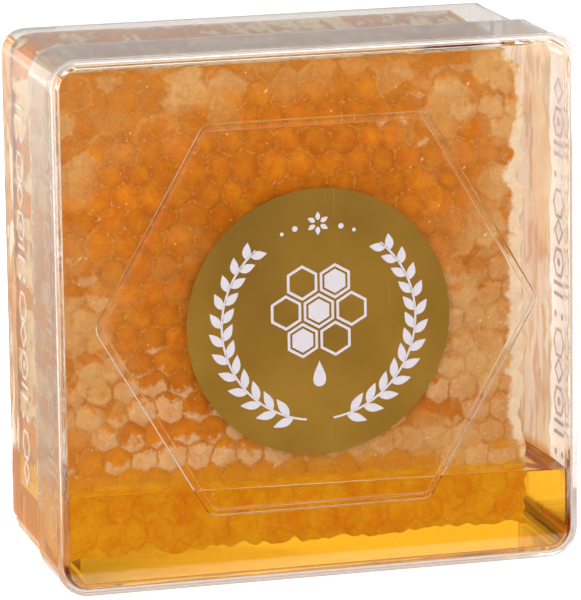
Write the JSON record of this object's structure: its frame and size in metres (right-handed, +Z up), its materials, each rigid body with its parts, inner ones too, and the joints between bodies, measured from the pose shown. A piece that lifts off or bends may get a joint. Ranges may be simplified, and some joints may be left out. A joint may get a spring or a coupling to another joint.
{
  "type": "boxed honeycomb",
  "caption": "Piece of honeycomb with loose honey in a shut clear square box, with a hexagon pressed into the lid and a round gold foil label.",
  "frame": {"origin": "under the middle of the box, on the surface that it stands on", "axes": "+Z up, +Y from the lid to the back of the tray, +X to the right as seen from the lid"},
  "size_m": [0.105, 0.05, 0.105],
  "materials": {
    "tray_plastic": "clear hard plastic, glossy",
    "lid_plastic": "clear hard plastic, glossy",
    "comb_wax": "wax cells full of amber honey, pale wax caps",
    "loose_honey": "clear amber liquid",
    "gold_foil": "satin gold foil with pale grey print"
  },
  "bodies": {
    "root": {"tray": "tray_plastic", "lid": "lid_plastic", "honeycomb": "comb_wax", "honey": "loose_honey", "label": "gold_foil"}
  },
  "joints": []
}
